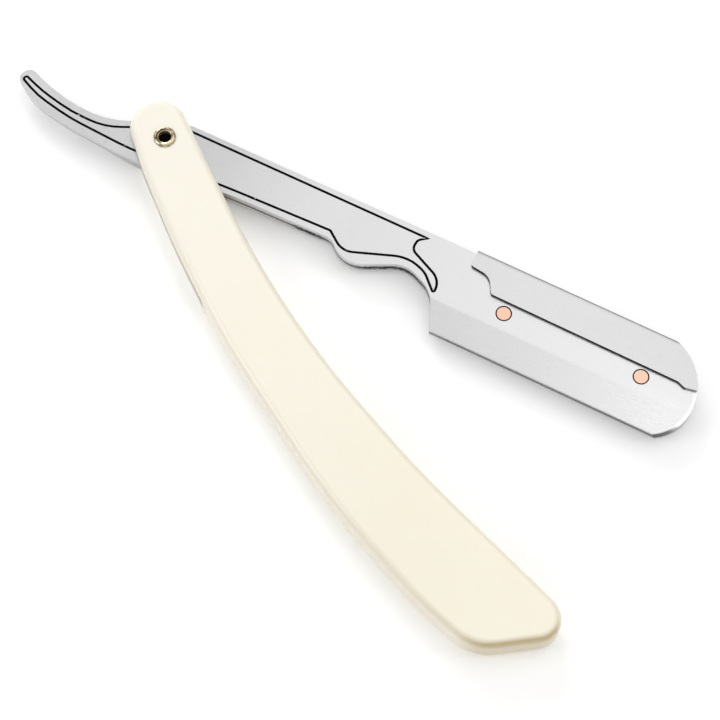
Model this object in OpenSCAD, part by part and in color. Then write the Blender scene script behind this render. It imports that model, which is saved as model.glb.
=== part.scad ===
// Straight razor with a folding handle, a fixed front arm and a swinging clip plate.
// Millimetres. The pivot axis is Z through the origin and z = 0 is the handle's underside.
// +X runs along the arm to the blade end, and the cutting edge faces -Y.

/* [Handle] */
// Thickness of the handle
handle_t = 7.4; // [7.2:0.1:8.5]
// Radius that rounds the handle's top and bottom edges
edge_r = 1.7; // [0.8:0.1:2]
// Thickness of the wall on each side of the slot
wall_t = 1.4; // [1.2:0.05:1.45]
// Thickness of the web that closes the slot along the back
web_t = 2.4; // [1.8:0.1:3]
// Distance from the pivot at which the back web begins
web_start = 36; // [35.2:0.2:44]
// Distance from the pivot at which the slot ends
slot_reach = 121; // [119:0.5:122]
// Distance from the pivot beyond which the slot widens to take the folded lip
relief_r = 62; // [40:1:64]

/* [Arm] */
// Thickness of the front arm
front_t = 1.5; // [1.2:0.05:1.6]
// Distance of the arm's edge from the pivot line
edge_depth = 12.65; // [12:0.05:13.2]
// Distance of the bevel's upper line from the pivot line
bevel_line = 6.35; // [5.5:0.05:8]
// How much the bevel thins each plate at the edge
bevel_drop = 0.7; // [0.2:0.05:0.9]
// Width of the engraved border line
line_w = 0.5; // [0.2:0.02:0.5]
// Depth of the engraved border line
line_d = 0.1; // [0.05:0.01:0.3]

/* [Clip] */
// Thickness of the rear plate
rear_t = 1.4; // [1:0.05:1.5]
// Gap between the plates, where the blade sits
seat_gap = 0.4; // [0.35:0.01:0.5]
// Thickness of the lip that folds over the arm's spine
lip_t = 0.6; // [0.4:0.05:0.65]
// Play between the fold and the front arm
fold_gap = 0.1; // [0.08:0.01:0.15]

/* [Pivot and rivets] */
// Inside radius of the tubular pivot
tube_r = 1.2; // [0.8:0.05:1.25]
// Outside radius of the tubular pivot
barrel_r = 1.6; // [1.5:0.05:1.9]
// Radius of the pivot's flanges
flange_r = 2.3; // [1.9:0.05:2.4]
// Radius of the two rivets
rivet_r = 1.5; // [1.2:0.05:1.7]

/* [Hidden] */
$fn = 72;
over = 1;
run_fit = 0.05;
seat_d = 0.35;
lo_z = 1.7;
front_z = lo_z + rear_t + seat_gap;
face_z = front_z + front_t;
lip_z = face_z + fold_gap;
top_z = lip_z + lip_t;
slot_z = handle_t - wall_t;
side_gap = 0.1;
pin_drop = seat_gap - 0.1;
rivet_x = [77.1, 106.4];
rivet_y = -3.15;
ring_w = 0.26;
ring_d = 0.12;
spine_y = 5.95;
fold_y = spine_y + fold_gap;
fold_x = 66.9;
cover_y = 6.7;
end_x = 117.9;
end_y = -4.9;
end_low_r = 9.3;
end_high_r = 12.1;

// Corners are [x, y, radius]; a radius of 0 leaves the corner sharp.
back_line = [[12.5, -19.4, 180], [30.9, -33.4, 180], [65.6, -54.1, 180], [88.3, -63.4, 60]];
handle_corners = concat(
    [[-0.6, 7.8, 4.6], [-8.1, 7.8, 4.7], [-8.5, -0.5, 6], [-1.2, -7.6, 30]],
    back_line,
    [[100.9, -67.0, 10], [116.4, -56.4, 4.6], [110.8, -51.6, 5], [77.3, -40.1, 200],
     [44.0, -25.5, 200], [20.9, -9.2, 200]]);
choil = [[39.6, -4.0, 3], [44.3, -7.9, 6], [55.4, -2.3, 6], [62.2, -5.1, 6.5], [65.5, -edge_depth, 0]];
shank_low = [[-4, -6.7, 40], [18, -4.55, 80]];
lip_left = [[fold_x, cover_y, 0.4], [fold_x, 3.0, 0.7], [71.3, 2.5, 3.2], [73.2, -0.8, 0.6]];
lip_flick = [[113.2, -1.1, 2], [114.8, -1.7, 0.8]];
border_tail = [[-32.7, 0.5, 0.4], [-33.1, -0.35, 0.4], [-28.5, -2.4, 20], [-20, -3.95, 40], [-6, -4.6, 60]];
border_low = [[18, -3.3, 80], [38.7, -2.5, 0.4], [42.8, -5.5, 4], [55.2, -0.65, 8], [59.5, -2.25, 5]];
border_barb = [[62.95, -5.6, 0.3], [62.8, -2.4, 3.6], [55.0, 1.15, 1.6], [55.1, 3.5, 1.4], [56.9, 4.7, 0],
    [55.8, 4.65, 0]];
border_top = [[1.6, 4.45, 8], [-12.75, -2.55, 14], [-20.5, -2.55, 30], [-28, -1.1, 30]];

function unit(v) = v / norm(v);
function xy(c) = [c[0], c[1]];

// Arc that rounds corner b between its neighbours a and c.
function fillet(a, b, c) =
    b[2] == 0 ? [xy(b)] :
    let (
        u = unit(xy(a) - xy(b)),
        v = unit(xy(c) - xy(b)),
        half = acos(u * v) / 2,
        mid = xy(b) + unit(u + v) * b[2] / sin(half),
        from = xy(b) + u * b[2] / tan(half) - mid,
        to = xy(b) + v * b[2] / tan(half) - mid,
        sweep = 180 - 2 * half,
        n = ceil(max(sweep / 7, b[2] * sweep * PI / 180 / 5))
    )
    [for (i = [0:n]) mid + (from * sin(sweep * (1 - i / n)) + to * sin(sweep * i / n)) / sin(sweep)];

function rounded(cs) =
    let (n = len(cs))
    [for (i = [0:n - 1]) each fillet(cs[(i + n - 1) % n], cs[i], cs[(i + 1) % n])];

// Outline moved inwards by d, for points listed counterclockwise.
function inset(p, d) =
    let (n = len(p))
    [for (i = [0:n - 1])
        let (
            a = unit(p[i] - p[(i + n - 1) % n]),
            b = unit(p[(i + 1) % n] - p[i]),
            na = [-a[1], a[0]],
            nb = [-b[1], b[0]]
        )
        p[i] + d * (na + nb) / max(0.4, 1 + na * nb)];

// Radius of the blade part's round end above or below its furthest point, by the sign of s.
function end_r(s) = s < 0 ? end_low_r : end_high_r;

// Round end of the blade part from height y0 up to y1.
function end_arc(y0, y1) =
    let (
        a0 = asin((y0 - end_y) / end_r(y0 - end_y)),
        a1 = asin((y1 - end_y) / end_r(y1 - end_y))
    )
    [for (i = [0:16])
        let (
            a = a0 + (a1 - a0) * i / 16,
            r = end_r(a)
        )
        [end_x - r + r * cos(a), end_y + r * sin(a), 0]];

// Heights and insets of the rings that round the handle's edges.
ring_steps = 6;
rings = concat(
    [for (j = [0:ring_steps]) let (a = 90 * j / ring_steps) [edge_r * (1 - sin(a)), edge_r * (1 - cos(a))]],
    [for (j = [0:ring_steps]) let (a = 90 * j / ring_steps)
        [edge_r * (1 - cos(a)), handle_t - edge_r * (1 - sin(a))]]);

// Twice the area of triangle a b c, positive when it runs counterclockwise.
function turn(a, b, c) = (b[0] - a[0]) * (c[1] - a[1]) - (b[1] - a[1]) * (c[0] - a[0]);

// Whether corner k of the outline can be cut off as a triangle with no other point inside it.
function is_ear(p, ids, k) =
    let (
        n = len(ids),
        i = ids[(k + n - 1) % n],
        j = ids[k],
        l = ids[(k + 1) % n]
    )
    turn(p[i], p[j], p[l]) > 0 && len([for (q = ids)
        if (q != i && q != j && q != l && turn(p[i], p[j], p[q]) >= 0
            && turn(p[j], p[l], p[q]) >= 0 && turn(p[l], p[i], p[q]) >= 0) q]) == 0;

function next_ear(p, ids, k) = is_ear(p, ids, k) ? k : next_ear(p, ids, k + 1);

// Splits a counterclockwise outline, hollow corners and all, into triangles of point numbers.
function triangles(p, ids) =
    len(ids) == 3 ? [ids] :
    let (
        n = len(ids),
        k = next_ear(p, ids, 0)
    )
    concat(
        [[ids[(k + n - 1) % n], ids[k], ids[(k + 1) % n]]],
        triangles(p, [for (i = [k + 1:k + n - 1]) ids[i % n]])
    );

// Slab with all its edges rounded, built from the rings above.
module rounded_slab(p) {
    n = len(p);
    m = len(rings);
    points = [for (r = rings) each [for (q = inset(p, r[0])) [q[0], q[1], r[1]]]];
    cap = triangles(inset(p, rings[0][0]), [for (i = [0:n - 1]) i]);
    top = [for (t = cap) [for (i = [2, 1, 0]) (m - 1) * n + t[i]]];
    sides = [for (k = [0:m - 2]) each [for (i = [0:n - 1])
        let (
            a = k * n + i,
            b = k * n + (i + 1) % n
        )
        each [[a, a + n, b + n], [a, b + n, b]]]];
    polyhedron(points, concat(cap, top, sides));
}

// Plan of the slot: open round the pivot end and on the edge side, closed by the web on the back.
module slot_plan() {
    web_side = [for (i = [0:len(back_line) - 1])
        let (
            a = back_line[max(0, i - 1)],
            b = back_line[min(len(back_line) - 1, i + 1)],
            t = unit(xy(b) - xy(a))
        )
        [back_line[i][0] - web_t * t[1], back_line[i][1] + web_t * t[0], back_line[i][2]]];
    intersection() {
        circle(r = slot_reach, $fn = 180);
        union() {
            circle(r = web_start, $fn = 120);
            polygon(rounded(concat([[-20, 5, 0]], web_side, [[120, -70, 0], [130, -20, 0], [10, 60, 0]])));
        }
    }
}

module handle() {
    color("ivory")
    difference() {
        rounded_slab(rounded(handle_corners));
        translate([0, 0, lo_z - side_gap])
        linear_extrude(face_z - lo_z + 2 * side_gap)
        slot_plan();
        translate([0, 0, wall_t])
        linear_extrude(slot_z - wall_t)
        difference() {
            slot_plan();
            circle(r = relief_r, $fn = 120);
        }
        translate([0, 0, -over])
        cylinder(h = handle_t + 2 * over, r = barrel_r + 0.02);
        translate([0, 0, -over])
        cylinder(h = over + 0.37, r = flange_r + 0.1);
        translate([0, 0, handle_t - seat_d])
        cylinder(h = seat_d + 0.01, r1 = flange_r + 0.1, r2 = flange_r + 0.7);
    }
}

// Tubular pivot: a flat flange underneath, and a half-round rolled one that sits on its seat on top.
module pivot_eyelet() {
    roll = (flange_r - tube_r) / 2;
    color("goldenrod")
    rotate_extrude()
    union() {
        translate([tube_r, 0])
        square([barrel_r - tube_r, handle_t - seat_d]);
        translate([tube_r, 0])
        square([flange_r - tube_r, 0.35]);
        translate([tube_r + roll, handle_t - seat_d])
        intersection() {
            circle(r = roll, $fn = 32);
            translate([-roll, 0])
            square([2 * roll, roll]);
        }
    }
}

module front_plan() {
    polygon(rounded(concat(
        [[-34.5, -0.4, 1.7], [-28.6, -4.15, 16], [-19.5, -5.9, 40]],
        shank_low, choil, end_arc(-edge_depth, spine_y),
        [[fold_x - 6, 6.05, 0], [2.2, 5.65, 8], [-13, -0.8, 18], [-20, -1.0, 28], [-27, 0.45, 25],
         [-32.9, 2.65, 1.7]])));
}

module border_plan() {
    line = rounded(concat(border_tail, border_low, border_barb, border_top));
    difference() {
        polygon(inset(line, -line_w / 2));
        polygon(inset(line, line_w / 2));
    }
}

// Wedge that thins a plate from the bevel line to the edge; s is 1 for a top face, -1 for an underside.
module bevel_wedge(z, s) {
    run = edge_depth - bevel_line;
    translate([fold_x - 7, 0, 0])
    rotate([90, 0, 90])
    linear_extrude(60)
    polygon([[-bevel_line, z], [-edge_depth - 2 * run, z - s * bevel_drop * 3],
        [-edge_depth - 2 * run, z + s * over], [-bevel_line, z + s * over]]);
}

module rivet_places() {
    for (x = rivet_x)
        translate([x, rivet_y, 0])
        children();
}

module front_arm() {
    color("silver")
    difference() {
        translate([0, 0, front_z])
        linear_extrude(front_t)
        front_plan();
        bevel_wedge(face_z, 1);
        translate([0, 0, face_z - line_d])
        linear_extrude(over)
        border_plan();
        translate([0, 0, -over])
        cylinder(h = handle_t, r = barrel_r + run_fit);
        rivet_places()
        cylinder(h = handle_t, r = rivet_r);
        rivet_places()
        translate([0, 0, face_z - ring_d])
        cylinder(h = over, r = rivet_r + ring_w / 2);
    }
}

// Rivet through the front arm: its lower end stands in the blade seat and locates the blade.
module blade_pin(x) {
    color("peru")
    translate([x, rivet_y, 0])
    union() {
        translate([0, 0, front_z - pin_drop])
        cylinder(h = pin_drop + front_t - ring_d, r = rivet_r - 0.02);
        translate([0, 0, face_z - ring_d - 0.01])
        cylinder(h = ring_d + 0.01, r = rivet_r - ring_w / 2);
    }
}

module blade_pin_rear() {
    blade_pin(rivet_x[0]);
}

module blade_pin_front() {
    blade_pin(rivet_x[1]);
}

// Cross-section of the clip: rear plate, rounded fold round the spine, and the lip on top.
module clip_section() {
    difference() {
        polygon(rounded([[-30, lo_z, 0], [cover_y, lo_z, 0.55], [cover_y, top_z, 0.55], [-30, top_z, 0]]));
        translate([-31, lo_z + rear_t])
        square([31 + fold_y, lip_z - lo_z - rear_t]);
    }
}

module rear_plan() {
    polygon(rounded(concat(
        [[-22.6, -3.9, 1.4], [-13, -5.4, 20]], shank_low, choil,
        end_arc(-edge_depth, cover_y),
        [[fold_x, cover_y, 0.3], [fold_x, 5.45, 0.2], [2.2, 5.45, 8], [-13, -1.0, 20], [-22.6, -1.0, 1.4]])));
}

module lip_plan() {
    polygon(rounded(concat(lip_left, lip_flick, end_arc(-1.15, cover_y))));
}

module clip_plate() {
    color("silver")
    difference() {
        intersection() {
            union() {
                linear_extrude(lo_z + rear_t)
                rear_plan();
                translate([0, 0, lo_z])
                linear_extrude(handle_t)
                lip_plan();
            }
            translate([-30, 0, 0])
            rotate([90, 0, 90])
            linear_extrude(160)
            clip_section();
        }
        bevel_wedge(lo_z, -1);
        translate([0, 0, -over])
        cylinder(h = handle_t, r = barrel_r + run_fit);
    }
}

handle();
pivot_eyelet();
front_arm();
blade_pin_rear();
blade_pin_front();
clip_plate();
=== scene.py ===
import math

import bmesh
import bpy
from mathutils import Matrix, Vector


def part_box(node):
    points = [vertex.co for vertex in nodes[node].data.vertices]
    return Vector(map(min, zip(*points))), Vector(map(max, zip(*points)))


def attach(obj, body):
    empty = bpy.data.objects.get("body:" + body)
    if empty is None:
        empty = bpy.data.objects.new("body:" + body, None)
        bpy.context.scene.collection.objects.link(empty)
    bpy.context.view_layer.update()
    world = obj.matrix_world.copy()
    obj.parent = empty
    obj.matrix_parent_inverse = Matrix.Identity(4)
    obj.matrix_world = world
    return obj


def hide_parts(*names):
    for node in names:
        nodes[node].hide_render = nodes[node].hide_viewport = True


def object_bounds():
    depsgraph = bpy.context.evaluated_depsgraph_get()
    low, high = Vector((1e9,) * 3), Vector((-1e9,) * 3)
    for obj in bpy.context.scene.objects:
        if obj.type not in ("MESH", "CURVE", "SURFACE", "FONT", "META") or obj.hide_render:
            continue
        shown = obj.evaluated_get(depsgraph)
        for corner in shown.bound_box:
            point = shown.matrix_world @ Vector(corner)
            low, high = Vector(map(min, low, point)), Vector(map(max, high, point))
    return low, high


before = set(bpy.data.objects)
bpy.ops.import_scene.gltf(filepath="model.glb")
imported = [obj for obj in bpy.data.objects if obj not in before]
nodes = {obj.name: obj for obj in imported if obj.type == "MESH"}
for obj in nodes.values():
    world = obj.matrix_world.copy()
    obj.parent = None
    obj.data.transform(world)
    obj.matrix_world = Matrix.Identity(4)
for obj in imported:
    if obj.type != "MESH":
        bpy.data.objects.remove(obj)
cad_low, cad_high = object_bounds()
scene = bpy.context.scene

MM = 0.001
EVEN = (1, 1, 1)  # noise stretched along no axis
X, Y, Z = 0, 1, 2

# Places on the part, in metres in its own frame
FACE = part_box("blade_pin_rear")[1].z  # top of the rivets, flush with the arm's engraved face
LINE_FLOOR = FACE - 0.10 * MM  # floor of the engraved line
RING_FLOOR = FACE - 0.12 * MM  # floor of the rings round the rivets
LIP_BOTTOM = FACE + 0.10 * MM  # underside of the clip's lip
LIP_LIMITS = (67.2 * MM, 117.25 * MM, 3.6 * MM)  # least x, greatest x and greatest y of its cut edge
SEAM = FACE - 1.7 * MM  # middle of the gap between the plates
BEND_Y = 5.84 * MM  # where the fold's darker colour begins
END_ARC = (108.6 * MM, -4.9 * MM, 9.3 * MM)  # centre x, centre y and radius of the arm's round end
WORN_W, WORN_D = 0.75 * MM, 0.05 * MM  # width and depth of its worn rim
EYELET_SEAT = 7.05 * MM  # height at which the eyelet's rolled rim sits
CURL_R = 1.62 * MM  # radius of the groove beside the rim's curl
NEAR = 0.004 * MM  # play when a height is compared with one of the above

# Material slots of the arm, then of the clip
LACQUER, RING, STEEL = 0, 1, 2
CUT_EDGE, CLIP_STEEL = 0, 1

# Colours
IVORY_PALE = (0.975, 0.925, 0.805), (0.980, 0.940, 0.830)
IVORY_DEEP = (0.970, 0.900, 0.745), (0.980, 0.915, 0.765)
IVORY_RIM_SHADE = (0.65, 0.54, 0.32)
# dull steel for grain, specks and bare chips; also painted shade near the handle and towards the clip's tip
DULL_AND_SHADED_STEEL = (0.40, 0.40, 0.41)
BEVEL_SHADE_STEEL = (0.30, 0.30, 0.31)
FOLDED_STEEL = (0.53, 0.53, 0.535)
GLINT_STEEL = (0.99, 0.99, 0.99)
SHADED_STEEL = (0.05, 0.05, 0.05)
OIL_AND_SHADE = (0.012, 0.011, 0.010)
BLACK_LACQUER = (0.002, 0.002, 0.002)
RING_DARK, RING_LIGHT = (0.006, 0.003, 0.002), (0.018, 0.009, 0.006)
# painted shade for the lip's cut edge
CUT_DARK, CUT_LIGHT = (0.004, 0.004, 0.004), (0.030, 0.030, 0.031)
BRASS, NICKEL = (0.30, 0.21, 0.10), (0.84, 0.76, 0.55)
GROOVE_SHADE_BROWN = (0.06, 0.04, 0.025)
FOOT_SHADE_BROWN = (0.10, 0.06, 0.03)
BORE_SHADE_BLACK = (0.012, 0.004, 0.003)
COPPER = (0.86, 0.50, 0.37), (0.90, 0.54, 0.41)
RIVET_STEP_SHADE = (0.035, 0.015, 0.010)
PAPER = (0.97, 0.97, 0.97), (0.99, 0.99, 0.99)


# ---------------------------------------------------------------- node helpers
def new_material(name):
    """A material with an empty tree but for its Principled shader and output."""
    m = bpy.data.materials.new(name)
    m.use_nodes = True
    tree = m.node_tree
    tree.nodes.clear()
    out = tree.nodes.new("ShaderNodeOutputMaterial")
    shader = tree.nodes.new("ShaderNodeBsdfPrincipled")
    tree.links.new(shader.outputs["BSDF"], out.inputs["Surface"])
    return m, tree, shader


def noise(tree, stretch, scale, detail, rough=0.55):
    """Noise over the part's own frame, scaled per axis by stretch, so that it can become a grain."""
    tc = tree.nodes.new("ShaderNodeTexCoord")
    mp = tree.nodes.new("ShaderNodeMapping")
    mp.inputs["Scale"].default_value = stretch
    tree.links.new(tc.outputs["Object"], mp.inputs["Vector"])
    n = tree.nodes.new("ShaderNodeTexNoise")
    n.inputs["Scale"].default_value = scale
    n.inputs["Detail"].default_value = detail
    n.inputs["Roughness"].default_value = rough
    tree.links.new(mp.outputs["Vector"], n.inputs["Vector"])
    return n.outputs["Fac"]


def ramp(tree, fac, low, high, a, b):
    """fac from low to high taken linearly to a to b, held beyond them."""
    n = tree.nodes.new("ShaderNodeMapRange")
    n.clamp = True
    n.inputs["From Min"].default_value = low
    n.inputs["From Max"].default_value = high
    n.inputs["To Min"].default_value = a
    n.inputs["To Max"].default_value = b
    tree.links.new(fac, n.inputs["Value"])
    return n.outputs["Result"]


def mix(tree, fac, a, b):
    """Colours a and b mixed by fac. Either may be a tuple or an output."""
    n = tree.nodes.new("ShaderNodeMix")
    n.data_type = "RGBA"
    tree.links.new(fac, n.inputs[0])
    for value, socket in ((a, n.inputs[6]), (b, n.inputs[7])):
        if isinstance(value, tuple):
            socket.default_value = (*value, 1)
        else:
            tree.links.new(value, socket)
    return n.outputs[2]


def maths(tree, kind, a, b=0.0):
    """One Math node on a and b, each a number or an output."""
    n = tree.nodes.new("ShaderNodeMath")
    n.operation = kind
    for value, socket in ((a, n.inputs[0]), (b, n.inputs[1])):
        if isinstance(value, (int, float)):
            socket.default_value = value
        else:
            tree.links.new(value, socket)
    return n.outputs[0]


def product(tree, first, *others):
    """first times each of the others in turn."""
    for other in others:
        first = maths(tree, "MULTIPLY", first, other)
    return first


def gap(tree, a, b):
    """How far a is from b, either way."""
    return maths(tree, "ABSOLUTE", maths(tree, "SUBTRACT", a, b))


def span(tree, a, b):
    """Length of the vector with components a and b."""
    return maths(tree, "SQRT", maths(tree, "ADD", product(tree, a, a), product(tree, b, b)))


def bump(tree, shader, height, depth, strength):
    """Gives shader a bump of height times depth, in metres."""
    n = tree.nodes.new("ShaderNodeBump")
    n.inputs["Distance"].default_value = depth
    n.inputs["Strength"].default_value = strength
    tree.links.new(height, n.inputs["Height"])
    tree.links.new(n.outputs["Normal"], shader.inputs["Normal"])


def coordinates(tree, kind):
    """x, y and z of one kind of texture coordinate."""
    tc = tree.nodes.new("ShaderNodeTexCoord")
    sep = tree.nodes.new("ShaderNodeSeparateXYZ")
    tree.links.new(tc.outputs[kind], sep.inputs[0])
    return sep.outputs


def where(tree):
    """x, y and z of the surface in the part's own frame, in metres."""
    return coordinates(tree, "Object")


def facing(tree, axis):
    """One component of the surface's normal in the part's own frame."""
    return coordinates(tree, "Normal")[axis]


# ---------------------------------------------------------------- materials
def ivory():
    """Aged ivory plastic, with painted light making it paler near the pivot than at the far end, and painted
    shade making its rounded rim tan.
    """
    m, tree, shader = new_material("ivory_plastic")
    x = where(tree)[X]
    cloud = ramp(tree, noise(tree, EVEN, 55, 3), 0.35, 0.65, 0, 1)
    fine = noise(tree, EVEN, 700, 2)
    pale, deep = mix(tree, cloud, *IVORY_PALE), mix(tree, cloud, *IVORY_DEEP)
    # painted light: paler near the pivot, deeper ivory towards the far end
    tint = mix(tree, ramp(tree, x, 0.0, 85 * MM, 0, 1), pale, deep)
    up = facing(tree, Z)
    # painted shade: tan on the rounded rim and sides, strongest where they face the front and the right
    rim = product(
        tree,
        ramp(tree, up, 0.10, 0.66, 0.62, 1.0),
        ramp(tree, up, 0.78, 0.995, 1.0, 0.0),
        ramp(tree, facing(tree, X), -0.25, 0.25, 0.06, 1.0),
        ramp(tree, facing(tree, Y), -0.20, 0.30, 1.0, 0.15),
    )
    tree.links.new(mix(tree, rim, tint, IVORY_RIM_SHADE), shader.inputs["Base Color"])
    tree.links.new(ramp(tree, fine, 0.3, 0.7, 0.20, 0.26), shader.inputs["Roughness"])
    shader.inputs["IOR"].default_value = 1.5
    shader.inputs["Subsurface Weight"].default_value = 0.08
    shader.inputs["Subsurface Radius"].default_value = (0.0024, 0.0016, 0.0008)
    shader.inputs["Subsurface Scale"].default_value = 1.0
    bump(tree, shader, fine, 0.00001, 0.4)
    return m


def seam_oil_and_shade(tree, x, y, z):
    """Old oil and painted shade on the cut edges by the gap between the plates, heavy at the hump and in a
    patch before it.
    """
    blotch = noise(tree, (1, 1, 2), 1500, 4, 0.7)
    hump = product(
        tree,
        ramp(tree, x, 44 * MM, 49 * MM, 0.3, 1),
        ramp(tree, x, 59 * MM, 65 * MM, 1, 0.4),
    )
    patch = product(
        tree,
        ramp(tree, x, 30 * MM, 32 * MM, 0.3, 1),
        ramp(tree, x, 37 * MM, 39 * MM, 1, 0.3),
    )
    held = product(tree, maths(tree, "MAXIMUM", hump, patch), ramp(tree, y, 0.0, 2 * MM, 1, 0.25))
    return product(
        tree,
        ramp(tree, gap(tree, z, SEAM), 0.50 * MM, 1.15 * MM, 1, 0),
        ramp(tree, facing(tree, Z), 0.3, 0.7, 1, 0),
        ramp(tree, blotch, 0.38, 0.50, 0.12, 1),
        held,
    )


def satin_steel(name, low, high):
    """What the two plates share: satin grain along x, specks, a seam darkened by old oil and painted shade,
    painted shade by the pivot and on the bevel. The tint is left unlinked, because each plate adds to it."""
    m, tree, shader = new_material(name)
    x, y, z = where(tree)
    grain = noise(tree, (0.10, 1, 1), 5200, 3, 0.6)
    cloud = noise(tree, EVEN, 45, 3)
    speck = noise(tree, EVEN, 2600, 2)
    greys = (low, low, low + 0.004), (high, high, high + 0.004)
    tint = mix(tree, ramp(tree, cloud, 0.3, 0.7, 0, 1), *greys)
    tint = mix(tree, ramp(tree, grain, 0.30, 0.70, 0.14, 0), tint, DULL_AND_SHADED_STEEL)
    tint = mix(tree, ramp(tree, speck, 0.30, 0.40, 0.20, 0), tint, DULL_AND_SHADED_STEEL)
    # old oil and painted shade along the gap between the plates
    tint = mix(tree, seam_oil_and_shade(tree, x, y, z), tint, OIL_AND_SHADE)
    # painted shade: darker near the handle, from the pivot out to about 30 mm
    handle_shade = product(
        tree,
        ramp(tree, x, -8 * MM, -4 * MM, 0, 1),
        ramp(tree, x, 12 * MM, 30 * MM, 0.20, 0),
    )
    tint = mix(tree, handle_shade, tint, DULL_AND_SHADED_STEEL)
    # painted shade: the bevel darker than the face, most at its left end
    bevel = product(
        tree,
        ramp(tree, facing(tree, Y), -0.09, -0.05, 1, 0),
        ramp(tree, x, 66 * MM, 112 * MM, 0.11, 0.06),
        ramp(tree, facing(tree, Z), 0.97, 0.99, 0, 1),
    )
    tint = mix(tree, bevel, tint, BEVEL_SHADE_STEEL)
    streaks, clouds = ramp(tree, grain, 0.3, 0.7, 0.28, 0.38), ramp(tree, cloud, 0.3, 0.7, -0.03, 0.03)
    rough = maths(tree, "ADD", streaks, clouds)
    tree.links.new(rough, shader.inputs["Roughness"])
    shader.inputs["Metallic"].default_value = 1.0
    return m, tree, shader, grain, tint


def arm_steel():
    """The arm's steel. Its round end's rim is worn over, with a painted glint along it and painted shade
    along the lower arc.
    """
    m, tree, shader, grain, tint = satin_steel("arm_steel", 0.67, 0.71)
    cx, cy, r = END_ARC
    x, y, _ = where(tree)
    dx, dy = maths(tree, "SUBTRACT", x, cx), maths(tree, "SUBTRACT", y, cy)
    reach = span(tree, dx, dy)
    on_end = ramp(tree, dx, 0.35 * r, 0.5 * r, 0, 1)
    worn = ramp(tree, reach, r - WORN_W, r, 0.0, 1.0)
    worn = product(tree, worn, worn, on_end)
    low_end = product(tree, ramp(tree, dy, -6.0 * MM, -4.0 * MM, 1, 0), on_end)
    # painted glint along the worn rim, except at the lower arc
    glint = product(tree, worn, maths(tree, "SUBTRACT", 1.0, low_end))
    # painted shade along the lower arc
    shade = product(tree, ramp(tree, reach, r - 0.45 * MM, r - 0.15 * MM, 0, 0.9), low_end)
    tint = mix(tree, glint, tint, GLINT_STEEL)
    tree.links.new(mix(tree, shade, tint, SHADED_STEEL), shader.inputs["Base Color"])
    height = maths(tree, "SUBTRACT", product(tree, grain, 0.000004), product(tree, worn, WORN_D))
    bump(tree, shader, height, 1.0, 1.0)
    return m


def clip_steel():
    """The clip's steel, with painted shade towards the tip, and darker along the fold."""
    m, tree, shader, grain, tint = satin_steel("clip_steel", 0.62, 0.66)
    x, y, _ = where(tree)
    # painted shade: darker towards the clip's tip
    tint = mix(tree, ramp(tree, x, 82 * MM, 117 * MM, 0, 0.20), tint, DULL_AND_SHADED_STEEL)
    # darker over the fold, from BEND_Y on
    tint = mix(tree, ramp(tree, y, BEND_Y, BEND_Y + 0.12 * MM, 0, 1), tint, FOLDED_STEEL)
    tree.links.new(tint, shader.inputs["Base Color"])
    bump(tree, shader, grain, 0.000012, 0.6)
    return m


def lacquer():
    """Black filling of the engraved line, with a few small chips."""
    m, tree, shader = new_material("line_lacquer")
    chip = noise(tree, EVEN, 900, 2)
    bare = ramp(tree, chip, 0.700, 0.715, 0, 1)
    tree.links.new(mix(tree, bare, BLACK_LACQUER, DULL_AND_SHADED_STEEL), shader.inputs["Base Color"])
    tree.links.new(ramp(tree, chip, 0.3, 0.7, 0.5, 0.65), shader.inputs["Roughness"])
    shader.inputs["Specular IOR Level"].default_value = 0.03
    return m


def dark_edge(name, dark, light):
    """Cut edge or narrow groove darkened by shade and old oil."""
    m, tree, shader = new_material(name)
    blotch = noise(tree, (0.4, 1, 1), 1800, 3)
    tree.links.new(mix(tree, ramp(tree, blotch, 0.35, 0.7, 0, 1), dark, light), shader.inputs["Base Color"])
    tree.links.new(ramp(tree, blotch, 0.3, 0.7, 0.5, 0.65), shader.inputs["Roughness"])
    shader.inputs["Specular IOR Level"].default_value = 0.2
    return m


def eyelet_metal():
    """Worn nickel over brass. The bore and the groove beside the rolled rim's curl are painted almost black
    as shade, and the rim's foot painted brown as shade.
    """
    m, tree, shader = new_material("eyelet_metal")
    x, y, z = where(tree)
    blotch = noise(tree, EVEN, 1500, 4, 0.65)
    fine = noise(tree, EVEN, 9000, 2)
    reach = span(tree, x, y)
    # painted shade in the groove beside the curl, mostly on the left
    groove = product(
        tree,
        ramp(tree, gap(tree, reach, CURL_R), 0.03 * MM, 0.19 * MM, 1, 0),
        ramp(tree, x, -0.6 * MM, 0.5 * MM, 1, 0.1),
    )
    # painted shade where the rim's foot meets the handle
    foot_shade = product(
        tree,
        ramp(tree, maths(tree, "SUBTRACT", z, EYELET_SEAT), 0.0, 0.16 * MM, 1, 0),
        ramp(tree, reach, 1.9 * MM, 2.1 * MM, 0, 0.8),
    )
    # painted shade deep in the bore, which also stops it being metal there
    deep = ramp(tree, z, EYELET_SEAT - 0.55 * MM, EYELET_SEAT - 0.15 * MM, 1, 0)
    tint = mix(tree, ramp(tree, blotch, 0.36, 0.60, 0, 1), BRASS, NICKEL)
    tint = mix(tree, groove, tint, GROOVE_SHADE_BROWN)
    tint = mix(tree, foot_shade, tint, FOOT_SHADE_BROWN)
    tint = mix(tree, deep, tint, BORE_SHADE_BLACK)
    tree.links.new(tint, shader.inputs["Base Color"])
    tree.links.new(ramp(tree, blotch, 0.3, 0.7, 0.36, 0.18), shader.inputs["Roughness"])
    tree.links.new(maths(tree, "SUBTRACT", 1.0, deep), shader.inputs["Metallic"])
    shader.inputs["Specular IOR Level"].default_value = 0.05
    bump(tree, shader, fine, 0.00003, 0.6)
    return m


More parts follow.
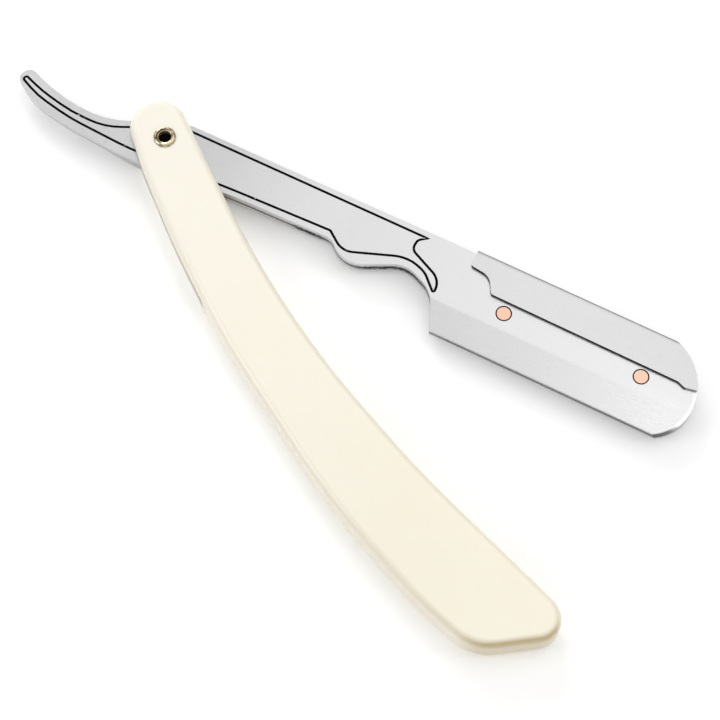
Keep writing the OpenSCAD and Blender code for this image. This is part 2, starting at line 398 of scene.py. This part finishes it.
def copper():
    """Copper rivet heads, with painted shade, dark and dull, at the step down into their rings."""
    m, tree, shader = new_material("copper")
    z = where(tree)[Z]
    grain = noise(tree, (1, 0.3, 1), 6000, 2)
    step = FACE - 0.07 * MM, FACE - 0.02 * MM
    tint = mix(tree, ramp(tree, grain, 0.3, 0.7, 0, 1), *COPPER)
    # painted shade at the step down into the ring, dark and not metal there
    tree.links.new(mix(tree, ramp(tree, z, *step, 1, 0), tint, RIVET_STEP_SHADE), shader.inputs["Base Color"])
    tree.links.new(ramp(tree, grain, 0.3, 0.7, 0.30, 0.40), shader.inputs["Roughness"])
    tree.links.new(ramp(tree, z, *step, 0, 1), shader.inputs["Metallic"])
    bump(tree, shader, grain, 0.000008, 0.5)
    return m


# ---------------------------------------------------------------- CAD nodes
def soften(node, width):
    """Welds a CAD node's split faces, joins its flat triangles, and breaks its sharp edges by width mm."""
    o = nodes[node]
    for p in o.data.polygons:
        p.use_smooth = True
    weld = o.modifiers.new("weld", "WELD")
    weld.merge_threshold = 0.002 * MM
    flat = o.modifiers.new("flat", "DECIMATE")
    flat.decimate_type = "DISSOLVE"
    flat.angle_limit = math.radians(0.05)
    if width:
        bevel = o.modifiers.new("bevel", "BEVEL")
        bevel.width = width * MM
        bevel.segments = 2
        bevel.limit_method = "ANGLE"
        bevel.angle_limit = math.radians(35)
        bevel.use_clamp_overlap = True
        bevel.harden_normals = False
    normal = o.modifiers.new("normal", "WEIGHTED_NORMAL")
    normal.mode = "FACE_AREA"
    normal.weight = 50
    normal.keep_sharp = True
    return o


def paint(o, *materials):
    o.data.materials.clear()
    for material in materials:
        o.data.materials.append(material)


def sort_faces(o, rule):
    """Gives each face the slot that rule names from its normal, lowest corner and highest. Faces of
    different slots are kept apart when the flat triangles are joined."""
    o.modifiers["flat"].delimit = {"MATERIAL"}
    corners = o.data.vertices
    for face in o.data.polygons:
        points = [corners[i].co for i in face.vertices]
        low = Vector([min(p[k] for p in points) for k in range(3)])
        high = Vector([max(p[k] for p in points) for k in range(3)])
        face.material_index = rule(face.normal, low, high)


def upright(normal):
    """Whether a face is a wall, or nearly one."""
    return abs(normal.z) < 0.1


def arm_slot(normal, low, high):
    """The engraved line's floor and walls, the rings round the rivets, and the rest of the arm."""
    if low.z < RING_FLOOR - NEAR or low.z > FACE - NEAR:
        return STEEL
    if low.z < LINE_FLOOR - NEAR:
        return RING
    if high.z < LINE_FLOOR + NEAR or upright(normal):
        return LACQUER
    return STEEL


def clip_slot(normal, low, high):
    """The lip's cut edge above the blade face, and the rest of the clip."""
    least_x, greatest_x, greatest_y = LIP_LIMITS
    cut = low.z > LIP_BOTTOM - NEAR and upright(normal)
    inside = high.y < greatest_y and high.x < greatest_x and low.x > least_x
    return CUT_EDGE if cut and inside else CLIP_STEEL


arm = soften("front_arm", 0.05)
paint(arm, lacquer(), dark_edge("ring_shade", RING_DARK, RING_LIGHT), arm_steel())
sort_faces(arm, arm_slot)
clip = soften("clip_plate", 0.06)
# the lip's cut edge gets painted shade, near black, under the lip
paint(clip, dark_edge("cut_edge", CUT_DARK, CUT_LIGHT), clip_steel())
sort_faces(clip, clip_slot)
paint(soften("handle", 0.0), ivory())
copper_paint = copper()
for pin in ("blade_pin_rear", "blade_pin_front"):
    paint(soften(pin, 0.02), copper_paint)


# ---------------------------------------------------------------- new piece
def eyelet():
    """The tubular pivot with its rim as hand rolling leaves it: uneven, split at one side, curl standing
    off. Lengths in here are in millimetres."""
    turns, steps = 160, 20
    bore, barrel, flange = 1.2, 1.6, 0.35
    low, high = (c * 1000 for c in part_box("pivot_eyelet"))
    outer, top, seat = high.x, high.z, EYELET_SEAT * 1000
    roll = (outer - bore) / 2
    split = math.radians(216)

    def from_split(a):
        """Angle between a and the rim's split."""
        return math.atan2(math.sin(a - split), math.cos(a - split))

    def rim_height(r, a):
        """Height of the rim above its seat: half round, with a groove on the left, a slit and some sag."""
        across = (r - bore - roll) / roll
        half_round = roll * math.sqrt(max(0.0, 1 - across * across))
        left = 0.5 - 0.5 * math.tanh((math.cos(a) + 0.1) * 2.2)
        groove = 0.38 * left * math.exp(-((r - CURL_R * 1000) / 0.10) ** 2)
        slit = 0.75 * math.exp(-(from_split(a) / 0.07) ** 2) * (1 if r > CURL_R * 1000 else 0.35)
        sag = 0.05 + 0.05 * math.sin(2 * a + 0.7) + 0.025 * math.sin(5 * a + 2.0)
        return min(top - seat, max(0.015, (half_round - groove) * (1 - sag) * (1 - slit)))

    def rim_radius(r, a):
        """r drawn inwards by the rim's dents, most at its outer edge."""
        dent = 0.035 + 0.03 * math.sin(3 * a + 1.0) + 0.10 * math.exp(-(from_split(a) / 0.10) ** 2)
        return r - dent * (r - bore) / (outer - bore)

    # Radius and height of each loop, up the bore, over the rim and down the barrel. None: a height on the rim
    loops = [(bore, 0.0), (bore, 3.0), (bore, 6.0), (bore, seat - 0.15)]
    for i in range(steps + 1):
        loops.append((bore + (outer - bore) * (1 - math.cos(math.pi * i / steps)) / 2, None))
    loops += [(barrel, seat), (barrel, flange), (outer, flange), (outer, 0.0)]
    bm = bmesh.new()
    grid = []
    for r, z in loops:
        ring = []
        for k in range(turns):
            a = 2 * math.pi * k / turns
            if z is None:
                radius, height = rim_radius(r, a), seat + rim_height(r, a)
            else:
                radius, height = r, z
            place = radius * math.cos(a) * MM, radius * math.sin(a) * MM, height * MM
            ring.append(bm.verts.new(place))
        grid.append(ring)
    for here, there in zip(grid, grid[1:] + grid[:1]):
        for k in range(turns):
            n = (k + 1) % turns
            bm.faces.new((here[k], here[n], there[n], there[k]))
    bmesh.ops.recalc_face_normals(bm, faces=bm.faces)
    mesh = bpy.data.meshes.new("eyelet_rolled")
    bm.to_mesh(mesh)
    bm.free()
    mesh.polygons.foreach_set("use_smooth", [True] * len(mesh.polygons))
    mesh.set_sharp_from_angle(angle=math.radians(50))
    o = bpy.data.objects.new("eyelet_rolled", mesh)
    scene.collection.objects.link(o)
    paint(o, eyelet_metal())
    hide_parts("pivot_eyelet")
    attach(o, "handle")


eyelet()


# ---------------------------------------------------------------- studio
def floor():
    """White paper just under the part. It glows a little."""
    mesh = bpy.data.meshes.new("floor")
    s = 4.0
    mesh.from_pydata([(-s, -s, 0), (s, -s, 0), (s, s, 0), (-s, s, 0)], [], [(0, 1, 2, 3)])
    o = bpy.data.objects.new("floor", mesh)
    scene.collection.objects.link(o)
    o.location.z = cad_low.z - 0.02 * MM
    m, tree, shader = new_material("paper")
    shade = noise(tree, EVEN, 30, 3)
    tree.links.new(mix(tree, ramp(tree, shade, 0.3, 0.7, 0, 1), *PAPER), shader.inputs["Base Color"])
    shader.inputs["Roughness"].default_value = 0.9
    shader.inputs["Specular IOR Level"].default_value = 0.1
    shader.inputs["Emission Color"].default_value = (1, 1, 1, 1)
    shader.inputs["Emission Strength"].default_value = 0.15
    o.data.materials.append(m)


def area(name, place, target, size, power):
    """A rectangular area light at place, turned to target; metres and watts."""
    light = bpy.data.lights.new(name, "AREA")
    light.shape = "RECTANGLE"
    light.size, light.size_y = size
    light.energy = power
    o = bpy.data.objects.new(name, light)
    o.location = place
    o.rotation_mode = "QUATERNION"
    o.rotation_quaternion = (Vector(target) - Vector(place)).to_track_quat("-Z", "Y")
    scene.collection.objects.link(o)


def tent():
    """The world as a light tent: bright above, dim at the horizon, the front, the far back and the left."""
    world = bpy.data.worlds.new("studio")
    world.use_nodes = True
    tree = world.node_tree
    back = tree.nodes["Background"]
    back.inputs["Color"].default_value = (1.0, 1.0, 1.0, 1)
    across, along, up = coordinates(tree, "Generated")
    sky = product(
        tree,
        ramp(tree, up, 0.0, 0.65, 0.18, 0.92),
        ramp(tree, along, -0.9, 0.2, 0.55, 1.0),
        ramp(tree, along, 0.62, 0.85, 1.0, 0.35),
        ramp(tree, across, -0.45, 0.0, 0.74, 1.06),
    )
    tree.links.new(sky, back.inputs["Strength"])
    scene.world = world


def lights():
    """A key from the back left, two faint boxes above, and two more from the front left and the right."""
    middle, handle_side = (0.05, -0.02, 0.0), (0.0, -0.03, 0.0)
    plates, blade = (0.10, 0.0, 0.0), (0.11, 0.0, 0.0)
    area("key", (-0.70, 0.75, 0.50), middle, (0.6, 0.6), 5.0)
    area("overhead", (0.07, 0.42, 0.90), plates, (0.55, 0.34), 0.31)
    area("zenith", (0.22, 0.10, 0.95), blade, (0.34, 0.30), 0.38)
    area("side", (-0.62, -0.50, 0.55), handle_side, (0.40, 0.40), 1.9)
    area("edge", (0.85, 0.32, 0.62), blade, (0.25, 0.30), 0.60)
    scene.view_settings.view_transform = "Standard"


# ---------------------------------------------------------------- camera
def camera():
    """The photograph's viewpoint: steep, from the front right. Target and distance in millimetres."""
    elevation, azimuth = math.radians(68), math.radians(26.9)
    target, distance = Vector((55.58, -22.78, 0)), 411.76
    back = Vector((
        math.sin(azimuth) * math.cos(elevation),
        -math.cos(azimuth) * math.cos(elevation),
        math.sin(elevation),
    ))
    data = bpy.data.cameras.new("camera")
    data.lens, data.sensor_width = 105, 36
    data.clip_start, data.clip_end = 0.01, 20
    o = bpy.data.objects.new("camera", data)
    o.rotation_mode = "QUATERNION"
    o.location = target * MM + back * distance * MM
    o.rotation_quaternion = (-back).to_track_quat("-Z", "Y")
    scene.collection.objects.link(o)
    scene.camera = o


floor()
tent()
lights()
camera()
